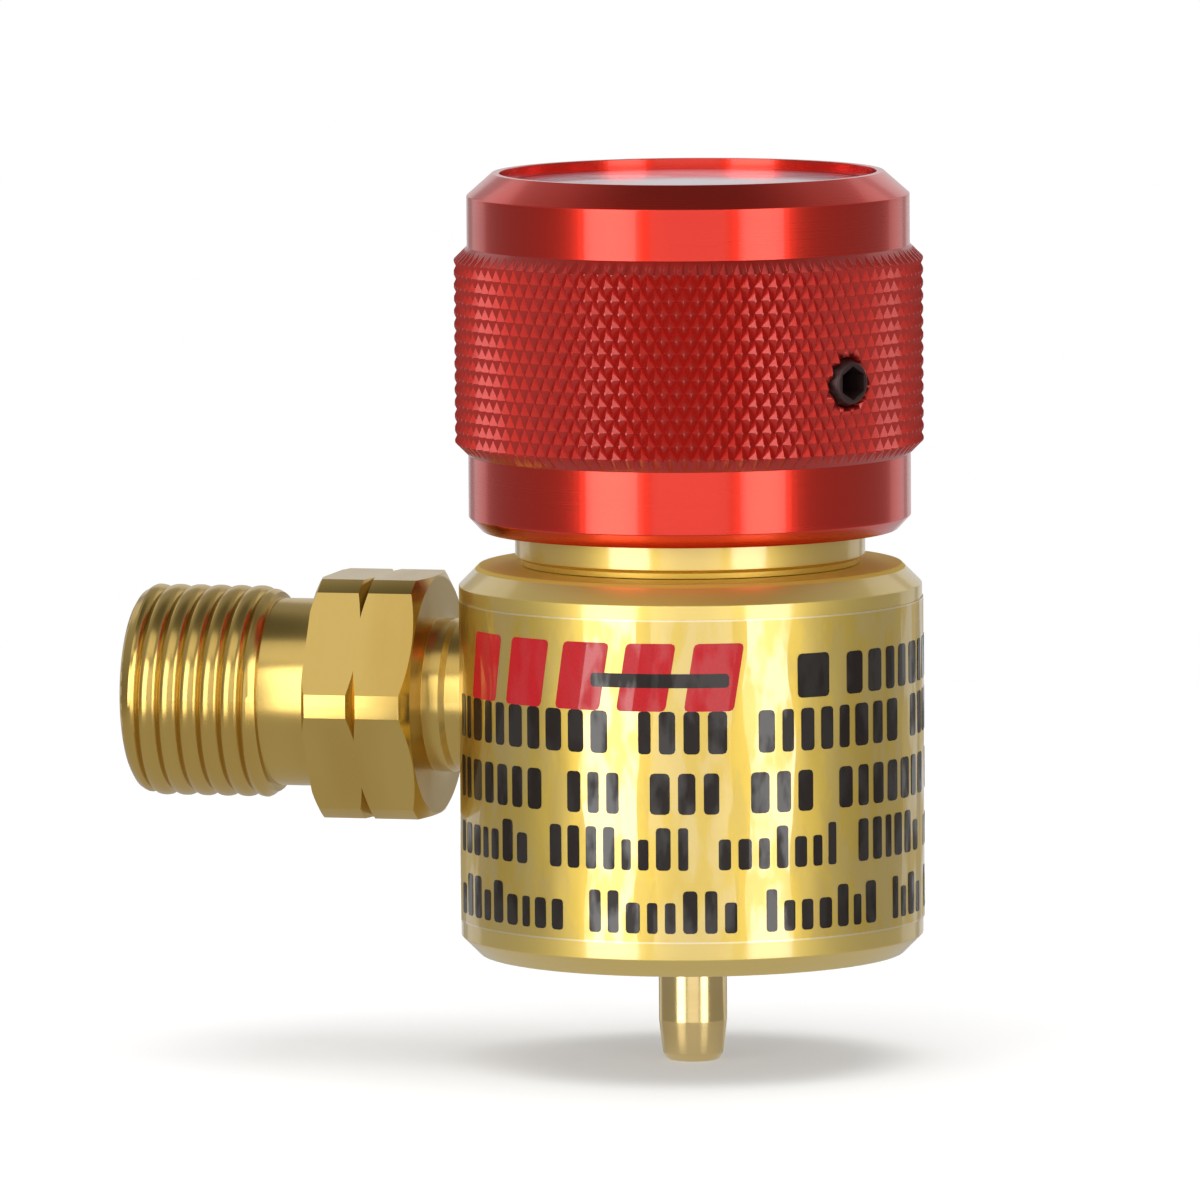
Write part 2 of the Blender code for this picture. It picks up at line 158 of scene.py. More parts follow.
class Graph:
    """The node tree of a material or of the world."""

    def __init__(self, owner: bpy.types.Material | bpy.types.World, shader: str) -> None:
        """Takes over a node tree.

        Args:
            owner: The material or the world.
            shader: The name of the shader that it starts with.
        """
        owner.use_nodes = True
        self.owner = owner
        self.tree = owner.node_tree
        self.shader = self.tree.nodes[shader]

    @classmethod
    def material(cls, name: str) -> Graph:
        """Makes a material of that name and gives its graph."""
        return cls(bpy.data.materials.new(name), "Principled BSDF")

    def node(
        self, kind: str, settings: dict | None = None, inputs: dict | None = None
    ) -> bpy.types.Node:
        """Adds a node.

        Args:
            kind: The node's type, such as ShaderNodeTexNoise.
            settings: Its properties. The key stops holds a colour ramp's stops.
            inputs: Values, sockets or Values for its inputs, by name or number.

        Returns:
            The new node.
        """
        made = self.tree.nodes.new(kind)
        for key, value in (settings or {}).items():
            if key == "stops":
                self._set_stops(made, value)
            else:
                setattr(made, key, value)
        for key, value in (inputs or {}).items():
            self.feed(made.inputs[key], value)
        return made

    def feed(self, socket: bpy.types.NodeSocket, value: object) -> None:
        """Sets an input to a constant, or links it.

        Args:
            socket: The input.
            value: A number, a tuple, a socket or a Value.
        """
        if isinstance(value, Value):
            self.tree.links.new(value.socket, socket)
        elif isinstance(value, bpy.types.NodeSocket):
            self.tree.links.new(value, socket)
        elif isinstance(value, tuple) and socket.type == "RGBA":
            socket.default_value = (*value[:3], 1.0)
        else:
            socket.default_value = value

    def _set_stops(self, ramp: bpy.types.Node, stops: Sequence[tuple[float, tuple]]) -> None:
        """Gives a colour ramp its stops.

        Args:
            ramp: The ramp's node.
            stops: (place, colour) pairs in rising order.
        """
        elements = ramp.color_ramp.elements
        while len(elements) < len(stops):
            elements.new(0.5)
        for element, (place, colour) in zip(elements, stops):
            element.position = place
            element.color = (*colour, 1.0)

    def math(self, operation: str, *values: Number) -> Value:
        """Adds a Math node.

        Args:
            operation: Blender's name of the operation.
            values: Its inputs in order.

        Returns:
            The node's result.
        """
        inputs = dict(enumerate(values))
        made = self.node("ShaderNodeMath", {"operation": operation}, inputs)
        return Value(self, made.outputs[0])

    def mix(self, factor: Number, first: object, second: object) -> bpy.types.NodeSocket:
        """Mixes two colours.

        Args:
            factor: 0 gives the first colour, 1 the second.
            first: A colour or a colour socket.
            second: A colour or a colour socket.

        Returns:
            The mixed colour's socket.
        """
        inputs = {0: factor, 6: first, 7: second}
        return self.node("ShaderNodeMix", {"data_type": "RGBA"}, inputs).outputs[2]

    def place(self) -> tuple[Value, Value, Value]:
        """The rest position on the piece, in millimetres.

        Returns:
            The x, y and z values.
        """
        coordinates = self.node("ShaderNodeTexCoord").outputs["Object"]
        scaled = self.node(
            "ShaderNodeVectorMath", {"operation": "SCALE"}, {0: coordinates, "Scale": 1 / MM}
        ).outputs[0]
        split = self.node("ShaderNodeSeparateXYZ", inputs={0: scaled})
        x, y, z = (Value(self, output) for output in split.outputs)
        return x, y, z

    def vector(self, x: Number, y: Number, z: Number) -> bpy.types.NodeSocket:
        """Joins three numbers into a vector socket."""
        return self.node("ShaderNodeCombineXYZ", inputs={0: x, 1: y, 2: z}).outputs[0]

    def noise(self, vector: bpy.types.NodeSocket, scale: float, detail: float = 2.0) -> Value:
        """A noise of mean 0.5 over a vector.

        Args:
            vector: Where the noise is read.
            scale: Its frequency.
            detail: How many finer layers it has.

        Returns:
            The noise value.
        """
        inputs = {"Vector": vector, "Scale": scale, "Detail": detail}
        return Value(self, self.node("ShaderNodeTexNoise", inputs=inputs).outputs[0])

    def turned_place(self, axis: Axis, centre_z: float = 0.0) -> tuple[Value, Value, Value]:
        """Cylinder coordinates about the axis a piece is turned on.

        Args:
            axis: The turning axis.
            centre_z: The height of a side axis, in millimetres.

        Returns:
            The distance along the axis, the radius, and the angle in turns.
        """
        x, y, z = self.place()
        along, first, second = (z, x, y) if axis is Axis.UP else (x, y, z - centre_z)
        radius = (first * first + second * second) ** 0.5
        angle = self.math("ARCTAN2", second, first) / math.tau
        return along, radius, angle

    def bump(self, height: Number, distance: float, strength: float = 1.0) -> None:
        """Feeds the shader's Normal from a height in millimetres.

        Args:
            height: The height, 0 to 1.
            distance: How far height 1 stands out, in millimetres.
            strength: How strongly it shows.
        """
        inputs = {"Height": height, "Distance": distance * MM, "Strength": strength}
        normal = self.node("ShaderNodeBump", inputs=inputs).outputs[0]
        self.feed(self.shader.inputs["Normal"], normal)

    def surface(self, **values: object) -> bpy.types.Material:
        """Sets the shader's inputs, with underscores for spaces in their names.

        Args:
            values: A value for each input.

        Returns:
            The finished material.
        """
        for key, value in values.items():
            self.feed(self.shader.inputs[key.replace("_", " ")], value)
        return self.owner

    def output(self, factor: Number, second: bpy.types.Node) -> None:
        """Mixes the shader with a second one on its way to the output.

        Args:
            factor: 0 shows the graph's own shader, 1 the second.
            second: The second shader.
        """
        inputs = {0: factor, 1: self.shader.outputs[0], 2: second.outputs[0]}
        mixed = self.node("ShaderNodeMixShader", inputs=inputs).outputs[0]
        kind = "World" if isinstance(self.owner, bpy.types.World) else "Material"
        self.feed(self.tree.nodes[f"{kind} Output"].inputs["Surface"], mixed)


# ---------------------------------------------------------------- finishes


@dataclass(frozen=True)
class TurnedMetal:
    """Machined metal with fine rings left by the tool, and small wear marks.

    Attributes:
        name: The material's name.
        colour: The metal's colour.
        shade: The colour of its duller patches.
        axis: The axis it was turned about.
        centre_z: The height of a side axis.
        roughness: The lowest roughness.
        rings: How far the tool's rings stand out, in millimetres.
        coat: The weight of a clear anodised layer.
        gloss: The refractive index of that layer.
        knurl_shade_and_dirt: The two heights between which the knurled band is painted darker, as
            painted shade of its grooves and some dirt.
        matt: The two heights between which it is dull and has no clear layer.
    """

    name: str
    colour: tuple[float, float, float]
    shade: tuple[float, float, float]
    axis: Axis = Axis.UP
    centre_z: float = 0.0
    roughness: float = 0.2
    rings: float = 0.0012
    coat: float = 0.0
    gloss: float = 1.5
    knurl_shade_and_dirt: tuple[float, float] | None = None
    matt: tuple[float, float] | None = None

    def build(self) -> bpy.types.Material:
        """Makes the material.

        Returns:
            The finished material.
        """
        graph = Graph.material(self.name)
        along, radius, angle = graph.turned_place(self.axis, self.centre_z)
        ring_place = graph.vector(along * 9.0, radius * 9.0, angle * 1.5)
        fine = graph.noise(ring_place, 1.0, 3.0)
        coarse = graph.noise(graph.vector(along * 1.2, radius * 1.2, angle * 0.8), 1.0, 2.0)
        cloud = graph.noise(graph.vector(along, radius, angle * 6.0), 0.22, 2.0)
        worn = ((cloud - 0.42) * 3.0).clamped()
        tint = graph.mix(worn * 0.55 + fine * 0.18, self.colour, self.shade)
        rough = self.roughness + fine * 0.07 + worn * 0.05
        # Painted shade: the knurled band is darkened to stand for the shade in its grooves, along with
        # some dirt, and it is made rougher.
        if self.knurl_shade_and_dirt:
            outside = radius > 14.0
            band = (along > self.knurl_shade_and_dirt[0]) * (along < self.knurl_shade_and_dirt[1]) * outside
            dull = tuple(0.66 * part + 0.012 for part in self.shade)
            tint = graph.mix(band * 0.85, tint, dull)
            rough = rough + band * 0.2
        coat = self.coat
        if self.matt:
            flat = (along > self.matt[0]) * (along < self.matt[1])
            coat = self.coat - flat * self.coat
            rough = rough + flat * 0.16
        graph.bump(fine * 0.7 + coarse * 0.6, self.rings)
        return graph.surface(
            Base_Color=tint,
            Metallic=1.0,
            Roughness=rough,
            Coat_Weight=coat,
            Coat_Roughness=0.12,
            Coat_IOR=self.gloss,
        )


def film_gloss(graph: Graph, along: Value, radius: Value, angle: Value) -> Value:
    """Where the clear film lies tight and shines most, in upright streaks.

    Args:
        graph: The graph that uses it.
        along: The height.
        radius: The radius.
        angle: The angle in turns.

    Returns:
        1 where the film is tight, 0 where it is loose.
    """
    crease = graph.noise(graph.vector(along * 0.22, radius, angle * 60.0), 1.0, 3.0)
    return ((crease - 0.44) * 9.0).clamped()


@dataclass(frozen=True)
class ClearFilm:
    """A clear gloss film stretched over the gold body, slightly uneven.

    Attributes:
        colour: The gold seen through it.
        shade: The gold where the film is a little cloudy.
        bottom: The height of its lower cut edge.
        top: The height of its upper cut edge.
    """

    colour: tuple[float, float, float] = (0.80, 0.59, 0.13)
    shade: tuple[float, float, float] = (0.72, 0.49, 0.07)
    bottom: float = 2.4
    top: float = 24.4

    def build(self) -> bpy.types.Material:
        """Makes the material.

        Returns:
            The finished material.
        """
        graph = Graph.material("clear_film_over_gold")
        along, radius, angle = graph.turned_place(Axis.UP)
        ripple = graph.noise(graph.vector(along * 0.10, radius, angle * 26.0), 1.0, 2.0)
        rings = graph.noise(graph.vector(along * 7.0, radius, angle * 1.5), 1.0, 3.0)
        tint = graph.mix(ripple * 0.85 + rings * 0.1, self.colour, self.shade)
        tight = film_gloss(graph, along, radius, angle)
        # Painted highlight: the gold is made paler along the film's upper and lower cut edges, as a thin
        # bright line of light on those edges.
        edge = (along > self.top - 0.12).clamped() + (along < self.bottom + 0.12)
        tint = graph.mix(edge * 0.45, tint, (1.0, 0.93, 0.72))
        graph.bump(ripple + rings * 0.02, 0.02)
        return graph.surface(
            Base_Color=tint,
            Metallic=1.0,
            Roughness=0.42 + rings * 0.05,
            Coat_Weight=0.3 + tight * 0.7,
            Coat_Roughness=0.04,
            Coat_IOR=2.2,
        )


@dataclass(frozen=True)
class Ink:
    """Print under the film, so it shines as the film does.

    Attributes:
        name: The material's name.
        colour: The ink's colour.
    """

    name: str
    colour: tuple[float, float, float]

    def build(self) -> bpy.types.Material:
        """Makes the material.

        Returns:
            The finished material.
        """
        graph = Graph.material(self.name)
        x, y, z = graph.place()
        along, radius, angle = graph.turned_place(Axis.UP)
        grain = graph.noise(graph.vector(x, y, z), 6.0, 3.0)
        tight = film_gloss(graph, along, radius, angle)
        darker = tuple(0.6 * part for part in self.colour)
        return graph.surface(
            Base_Color=graph.mix(grain, self.colour, darker),
            Roughness=0.45 + grain * 0.1,
            Coat_Weight=0.15 + tight * 0.7,
            Coat_Roughness=0.04,
            Coat_IOR=1.6,
            Specular_IOR_Level=0.2,
        )


@dataclass(frozen=True)
class Moulded:
    """Rubber, sealing plastic, sintered metal and other grained matter.

    Attributes:
        name: The material's name.
        colour: The main colour.
        shade: The colour of its grain.
        roughness: The lowest roughness.
        grain: The grain's size, in millimetres.
        depth: The grain's depth, in millimetres.
        metallic: 1 for a metal.
    """

    name: str
    colour: tuple[float, float, float]
    shade: tuple[float, float, float]
    roughness: float
    grain: float
    depth: float
    metallic: float = 0.0

    def build(self) -> bpy.types.Material:
        """Makes the material.

        Returns:
            The finished material.
        """
        graph = Graph.material(self.name)
        x, y, z = graph.place()
        grain = graph.noise(graph.vector(x, y, z), 1 / self.grain, 3.0)
        graph.bump(grain, self.depth)
        return graph.surface(
            Base_Color=graph.mix(grain, self.colour, self.shade),
            Metallic=self.metallic,
            Roughness=self.roughness + grain * 0.15,
        )


@dataclass(frozen=True)
class WavyDisc:
    """The glossy disc in the knob's recess, slightly wavy, with a plain ring.

    Attributes:
        colour: The disc's colour.
        ring: The ring's colour.
    """

    colour: tuple[float, float, float] = (0.30, 0.24, 0.29)
    ring: tuple[float, float, float] = (0.45, 0.05, 0.07)

    def build(self) -> bpy.types.Material:
        """Makes the material.

        Returns:
            The finished material.
        """
        graph = Graph.material("knob_disc_gloss")
        x, y, z = graph.place()
        radius = (x * x + y * y) ** 0.5
        wave = graph.noise(graph.vector(x, y, z), 0.16, 1.0)
        grain = graph.noise(graph.vector(x, y, z), 3.0, 3.0)
        band = (radius > 11.3) * (radius < 12.0)
        base = graph.mix(grain * 0.5, self.colour, (0.22, 0.17, 0.22))
        graph.bump(wave + grain * 0.01, 0.35)
        return graph.surface(
            Base_Color=graph.mix(band * 0.8, base, self.ring),
            Roughness=0.16 + grain * 0.08,
            Coat_Weight=0.6,
            Coat_Roughness=0.08,
        )


GOLD = TurnedMetal(
    "gold_anodised",
    (0.82, 0.60, 0.13),
    (0.75, 0.51, 0.07),
    roughness=0.42,
    coat=1.0,
    gloss=1.9,
    matt=(26.45, 26.73),
)
RED = TurnedMetal(
    "red_anodised",
    (0.78, 0.032, 0.013),
    (0.66, 0.020, 0.008),
    roughness=0.22,
    coat=0.7,
    gloss=1.5,
    # This band gets painted shade of the knurl's grooves, with some dirt.
    knurl_shade_and_dirt=(34.3, 48.6),
)
SIDE_BRASS = TurnedMetal(
    "side_brass", (0.60, 0.42, 0.125), (0.52, 0.33, 0.080), Axis.SIDE, 17.3, roughness=0.18
)
PIN_BRASS = TurnedMetal("pin_brass", (0.84, 0.64, 0.30), (0.70, 0.49, 0.19), roughness=0.13)
STEEL = TurnedMetal("bright_steel", (0.66, 0.66, 0.64), (0.50, 0.50, 0.50), roughness=0.22)
COPPER = TurnedMetal("soft_copper", (0.80, 0.43, 0.30), (0.62, 0.30, 0.20), roughness=0.32)
WIRE = Moulded("spring_wire", (0.42, 0.42, 0.44), (0.30, 0.30, 0.32), 0.28, 0.6, 0.01, 1.0)
BLACK_OXIDE = Moulded(
    "black_oxide", (0.030, 0.014, 0.014), (0.055, 0.028, 0.026), 0.30, 0.15, 0.006, 0.6
)
RUBBER = Moulded("nitrile_rubber", (0.018, 0.018, 0.018), (0.035, 0.035, 0.035), 0.55, 0.12, 0.01)
POLYMER = Moulded("sealing_polymer", (0.84, 0.82, 0.76), (0.76, 0.73, 0.65), 0.42, 0.3, 0.006)
SINTER = Moulded("sintered_bronze", (0.48, 0.33, 0.19), (0.20, 0.12, 0.06), 0.62, 0.09, 0.06, 0.8)
DARK_INK = Ink("dark_ink", (0.012, 0.006, 0.003))
RED_INK = Ink("red_ink", (0.50, 0.005, 0.010))


# ---------------------------------------------------------------- turning


def rounded(points: Profile, steps: int = 4) -> list[tuple[float, float]]:
    """Rounds a profile's corners.

    Args:
        points: (radius, height) or (radius, height, corner radius) in order.
        steps: How many pieces each arc has.

    Returns:
        The profile with arcs in place of the corners that have a radius.
    """
    made: list[tuple[float, float]] = []
    for index, point in enumerate(points):
        here = np.array(point[:2], float)
        corner = point[2] if len(point) > 2 else 0.0
        if corner == 0.0 or index in (0, len(points) - 1):
            made.append((here[0], here[1]))
            continue
        before = np.array(points[index - 1][:2], float) - here
        after = np.array(points[index + 1][:2], float) - here
        unit_in = before / np.linalg.norm(before)
        unit_out = after / np.linalg.norm(after)
        half = math.acos(float(np.clip(unit_in @ unit_out, -1, 1))) / 2
        reach = min(corner / math.tan(half), 0.48 * np.linalg.norm(before), 0.48 * np.linalg.norm(after))
        start = here + unit_in * reach
        end = here + unit_out * reach
        for step in range(steps + 1):
            t = step / steps
            bent = (1 - t) ** 2 * start + 2 * t * (1 - t) * here + t**2 * end
            made.append((float(bent[0]), float(bent[1])))
    return made


@dataclass(frozen=True)
class Helix:
    """A right-hand thread between two heights.

    Attributes:
        low: The lower end.
        high: The upper end.
        root: The radius at both ends and in the roots.
        crest: The radius of the crests.
        pitch: The rise of one turn.
        phase: A height where a root line crosses angle 0.
        lead: The length over which the thread fades at each end.
        form: The tooth as (share of the pitch, share of the depth) pairs.
    """

    low: float
    high: float
    root: float
    crest: float
    pitch: float
    phase: float = 0.0
    lead: float = 0.8
    form: tuple[tuple[float, float], ...] = (
        (0.0, 0.03),
        (0.12, -0.04),
        (0.24, 0.03),
        (0.53, 0.92),
        (0.575, 1.0),
        (0.665, 1.0),
        (0.71, 0.92),
    )

    def rows(self, sides: int) -> np.ndarray:
        """The thread's rows of points, each climbing one pitch in a turn.

        Args:
            sides: The points of one turn.

        Returns:
            The rows, from the lower end to the upper.
        """
        angle = np.arange(sides) * math.tau / sides
        climb = self.pitch * np.arange(sides) / sides
        first = math.floor((self.low - self.phase) / self.pitch) - 1
        last = math.ceil((self.high - self.phase) / self.pitch) + 1
        rows = []
        for turn in range(first, last):
            for share, depth in self.form:
                z = np.clip(self.phase + (turn + share) * self.pitch + climb, self.low, self.high)
                reach = np.clip(np.minimum(z - self.low, self.high - z) / self.lead, 0.0, 1.0)
                radius = self.root + (self.crest - self.root) * depth * reach
                rows.append(np.stack([radius * np.cos(angle), radius * np.sin(angle), z], axis=1))
        return np.array(rows)


def even_angles(sides: int) -> np.ndarray:
    """Evenly spaced angles round a turn."""
    return np.arange(sides) * math.tau / sides


def ring_points(radius: np.ndarray | float, angle: np.ndarray, z: float) -> np.ndarray:
    """The points of one ring at a height."""
    return np.stack([radius * np.cos(angle), radius * np.sin(angle), np.full(len(angle), z)], axis=1)


class Lathe:
    """Builds a closed skin, stretch by stretch, from rings of points."""

    def __init__(self, sides: int, angles: np.ndarray | None = None) -> None:
        """Starts an empty skin.

        Args:
            sides: The points in each ring.
            angles: Their angles, where they aren't evenly spaced.
        """
        self.sides = sides
        self.angles = even_angles(sides) if angles is None else angles
        self.points: list[np.ndarray] = []
        self.faces: list[tuple[int, ...]] = []
        self.count = 0
        self.first: np.ndarray | None = None
        self.last: np.ndarray | None = None

    def _add(self, rows: np.ndarray) -> np.ndarray:
        """Stores rows of points.

        Args:
            rows: The points.

        Returns:
            Their numbers, a row for each ring.
        """
        rows = rows.reshape(-1, self.sides, 3)
        numbers = self.count + np.arange(len(rows) * self.sides).reshape(-1, self.sides)
        self.points.append(rows.reshape(-1, 3))
        self.count += len(rows) * self.sides
        return numbers

    def _bridge(self, low: np.ndarray, high: np.ndarray) -> None:
        """Faces between two rings."""
        after_low, after_high = np.roll(low, -1), np.roll(high, -1)
        self.faces.extend(zip(low.tolist(), after_low.tolist(), after_high.tolist(), high.tolist()))

    def _join(self, entry: np.ndarray, leave: np.ndarray) -> None:
        """Joins a new stretch to the last one.

        Args:
            entry: The numbers of the stretch's first ring.
            leave: The numbers of its last ring.
        """
        if self.last is not None:
            self._bridge(self.last, entry)
        if self.first is None:
            self.first = entry
        self.last = leave

    def plain(self, points: Profile) -> Lathe:
        """Adds a plain stretch, its corners rounded where they have a radius."""
        rows = [ring_points(radius, self.angles, z) for radius, z in rounded(points)]
        return self.rings(np.array(rows))

    def shaped(
        self, levels: Sequence[float], radius_at: Callable[[np.ndarray, float], np.ndarray]
    ) -> Lathe:
        """Adds a stretch whose radius changes round the axis.

        Args:
            levels: The rings' heights.
            radius_at: Gives the radii at an array of angles and a height.

        Returns:
            This lathe.
        """
        rows = [ring_points(radius_at(self.angles, z), self.angles, z) for z in levels]
        return self.rings(np.array(rows))

    def rings(self, rows: np.ndarray) -> Lathe:
        """Adds a stretch of rings.

        Args:
            rows: The rings' points.

        Returns:
            This lathe.
        """
        numbers = self._add(rows)
        for low, high in zip(numbers, numbers[1:]):
            self._bridge(low, high)
        self._join(numbers[0], numbers[-1])
        return self

    def creased(self, rows: np.ndarray, rising: np.ndarray) -> Lathe:
        """Adds a stretch of rings whose cells are each split along a chosen diagonal.

        Args:
            rows: The rings.
            rising: For each cell of each row, True to split it from its first corner.

        Returns:
            This lathe.
        """
        numbers = self._add(rows)
        for low, high, choices in zip(numbers, numbers[1:], rising.tolist()):
            after_low, after_high = np.roll(low, -1), np.roll(high, -1)
            corners = zip(low.tolist(), after_low.tolist(), after_high.tolist(), high.tolist())
            for (a, b, c, d), choice in zip(corners, choices):
                self.faces.extend(((a, b, c), (a, c, d)) if choice else ((a, b, d), (b, c, d)))
        self._join(numbers[0], numbers[-1])
        return self

    def thread(self, helix: Helix, downwards: bool = False) -> Lathe:
        """Adds a threaded stretch.

        Args:
            helix: The thread.
            downwards: True where the profile runs down through it.

        Returns:
            This lathe.
        """
        numbers = self._add(helix.rows(self.sides))
        shift = len(helix.form)
        top = len(numbers) - 1
        for row in range(top):
            low, high = numbers[row], numbers[row + 1]
            seam_low = numbers[min(row + shift, top)][0]
            seam_high = numbers[min(row + 1 + shift, top)][0]
            after_low = np.append(low[1:], seam_low)
            after_high = np.append(high[1:], seam_high)
            self.faces.extend(zip(low.tolist(), after_low.tolist(), after_high.tolist(), high.tolist()))
        if downwards:
            self._join(numbers[-1], numbers[0])
        else:
            self._join(numbers[0], numbers[-1])
        return self

    def finish(self, name: str, closed: bool = True, sharp: float = 32.0) -> bpy.types.Object:
        """Closes the skin and makes it an object.

        Args:
            name: The object's name.
            closed: True for a tube, whose last ring meets its first.
            sharp: The angle in degrees over which an edge stays sharp.

        Returns:
            The new object, in metres.
        """
        if closed:
            self._bridge(self.last, self.first)
        mesh = bmesh.new()
        corners = [mesh.verts.new(point) for point in np.concatenate(self.points)]
        for face in self.faces:
            distinct = list(dict.fromkeys(face))
            if len(distinct) > 2:
                mesh.faces.new([corners[number] for number in distinct])
        return finished(mesh, name, sharp)


def finished(mesh: bmesh.types.BMesh, name: str, sharp: float = 32.0) -> bpy.types.Object:
    """Cleans a mesh in millimetres and makes it a smooth-shaded object in metres.

    Args:
        mesh: The mesh, which is freed.
        name: The object's name.
        sharp: The angle in degrees over which an edge stays sharp.

    Returns:
        The new object.
    """
    bmesh.ops.remove_doubles(mesh, verts=mesh.verts, dist=1e-5)
    bmesh.ops.dissolve_degenerate(mesh, dist=1e-6, edges=mesh.edges)
    bmesh.ops.recalc_face_normals(mesh, faces=mesh.faces)
    bmesh.ops.scale(mesh, vec=(MM, MM, MM), verts=mesh.verts)
    data = bpy.data.meshes.new(name)
    mesh.to_mesh(data)
    mesh.free()
    data.shade_smooth()
    data.set_sharp_from_angle(angle=math.radians(sharp))
    piece = bpy.data.objects.new(name, data)
    bpy.context.scene.collection.objects.link(piece)
    return piece


def turned_to(piece: bpy.types.Object, matrix: Matrix) -> bpy.types.Object:
    """Bakes a placement in metres into a piece's mesh."""
    piece.data.transform(matrix)
    return piece


def radial(turn: float, z: float) -> Matrix:
    """A frame whose +Z points out from the axis.

    Args:
        turn: Its direction from +X, in radians.
        z: Its height in millimetres.

    Returns:
        The frame, in metres.
    """
    facing = Matrix.Rotation(turn, 4, "Z") @ Matrix.Rotation(math.pi / 2, 4, "Y")
    return Matrix.Translation((0, 0, z * MM)) @ facing


def cut(piece: bpy.types.Object, tool: bpy.types.Object) -> None:
    """Takes a tool's shape out of a piece and removes the tool.

    Args:
        piece: The piece.
        tool: The tool.
    """
    modifier = piece.modifiers.new("cut", "BOOLEAN")
    modifier.operation = "DIFFERENCE"
    modifier.object = tool
    graph = bpy.context.evaluated_depsgraph_get()
    data = bpy.data.meshes.new_from_object(piece.evaluated_get(graph))
    piece.modifiers.clear()
    piece.data = data
    bpy.data.objects.remove(tool)


def dress(piece: bpy.types.Object, finish: bpy.types.Material) -> bpy.types.Object:
    """Gives a piece its material.

    Args:
        piece: The piece.
        finish: The material.

    Returns:
        The piece.
    """
    piece.data.materials.clear()
    piece.data.materials.append(finish)
    return piece


def settle(piece: bpy.types.Object, body: Body, *nodes: str) -> None:
    """Rides a piece on its body, in place of its nodes, and reports it.

    Args:
        piece: The piece.
        body: What it moves with.
        nodes: The nodes it stands for.
    """
    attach(piece, body.value)
    if nodes:
        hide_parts(*nodes)
    LOG.info("%s: %d faces on %s", piece.name, len(piece.data.polygons), body.value)


def drill(piece: bpy.types.Object, size: tuple[float, float, float, int], frame: Matrix) -> None:
    """Drills a plain round hole in a piece.

    Args:
        piece: The piece.
        size: The hole's radius, both its ends along its own +Z, and the points round it.
        frame: Where the hole's +Z lies.
    """
    radius, low, high, sides = size
    outline = [(0, low), (radius, low), (radius, high), (0, high)]
    cut(piece, turned_to(Lathe(sides).plain(outline).finish("drill", False), frame))


# ---------------------------------------------------------------- sub-assemblies


@dataclass
class HousingBody:
    """The gold body with its socket thread and its side port.

    Attributes:
        radius: The outer radius.
        height: The height to the shoulder.
        port_z: The height of the side port's axis.
        sides: The points round it.
    """

    radius: float = 15.875
    height: float = 26.7
    port_z: float = 17.3
    sides: int = 216

    def build(self) -> None:
        """Turns the body, bores the port and dresses it."""
        socket = Helix(0.6, 8.9, 12.7, 12.0, 1.27, lead=0.6)
        lathe = Lathe(self.sides)
        lathe.plain(
            [
                (13.2, 0),
                (self.radius - 1.245, 0, 0.12),
                (self.radius, 1.245, 0.15),
                *((self.radius, z) for z in (11.0, 14.0, 17.3, 20.5, 23.5)),
                (self.radius, self.height - 1.375, 0.15),
                (14.5, self.height, 0.15),
                (10.35, self.height, 0.05),
                (10.05, self.height - 0.3),
                (10.05, 19.1),
                (8.2, 19.1),
                (8.2, 15.8, 0.3),
                (3.75, 15.8),
                (3.75, 13.1),
                (2.6, 13.1),
                (2.6, 12.7),
                (3.15, 12.7),
                (3.15, 10.5),
                (12.9, 10.5),
                (12.9, 9.1),
            ]
        )
        lathe.thread(socket, downwards=True)
        body = lathe.finish("body_turned")
        drill(body, (5.2, 10.9, 17.4, 96), radial(math.pi, self.port_z))
        drill(body, (1.5, 7.2, 11.2, 48), radial(math.pi, self.port_z))
        body.data.set_sharp_from_angle(angle=math.radians(32))
        settle(dress(body, GOLD.build()), Body.HOUSING, "body")


@dataclass
class Bonnet:
    """The gold sleeve whose neck shows between body and knob.

    Attributes:
        shoulder_z: The height of its shoulder.
        neck: The neck's radius.
        sides: The points round it.
    """

    shoulder_z: float = 26.75
    neck: float = 12.0
    sides: int = 168

    def build(self) -> None:
        """Turns the sleeve and dresses it."""
        base = self.shoulder_z
        lathe = Lathe(self.sides)
        lathe.plain(
            [
                (7.6, 19.8),
                (9.5, 19.8),
                (9.95, 20.25),
                (9.95, base - 0.6),
                (9.6, base - 0.6),
                (9.6, base),
                (11.6, base, 0.05),
                (11.6, base + 0.4, 0.08),
                (self.neck, base + 0.6, 0.08),
                (self.neck, base + 3.1, 0.1),
                (self.neck - 0.25, base + 3.3),
                (9.95, base + 3.6),
            ]
        )
        lathe.thread(Helix(30.6, 36.6, 9.95, 10.9, 1.5, phase=30.6, lead=0.7))
        lathe.plain(
            [
                (9.0, 36.85),
                (9.0, 42.15),
                (10.1, 42.15, 0.1),
                (10.1, base + 17.4),
                (9.75, base + 17.75),
                (8.1, base + 17.75),
                (7.6, base + 17.25),
            ]
        )
        bonnet = lathe.finish("bonnet_turned")
        settle(dress(bonnet, GOLD.build()), Body.HOUSING, "bonnet")


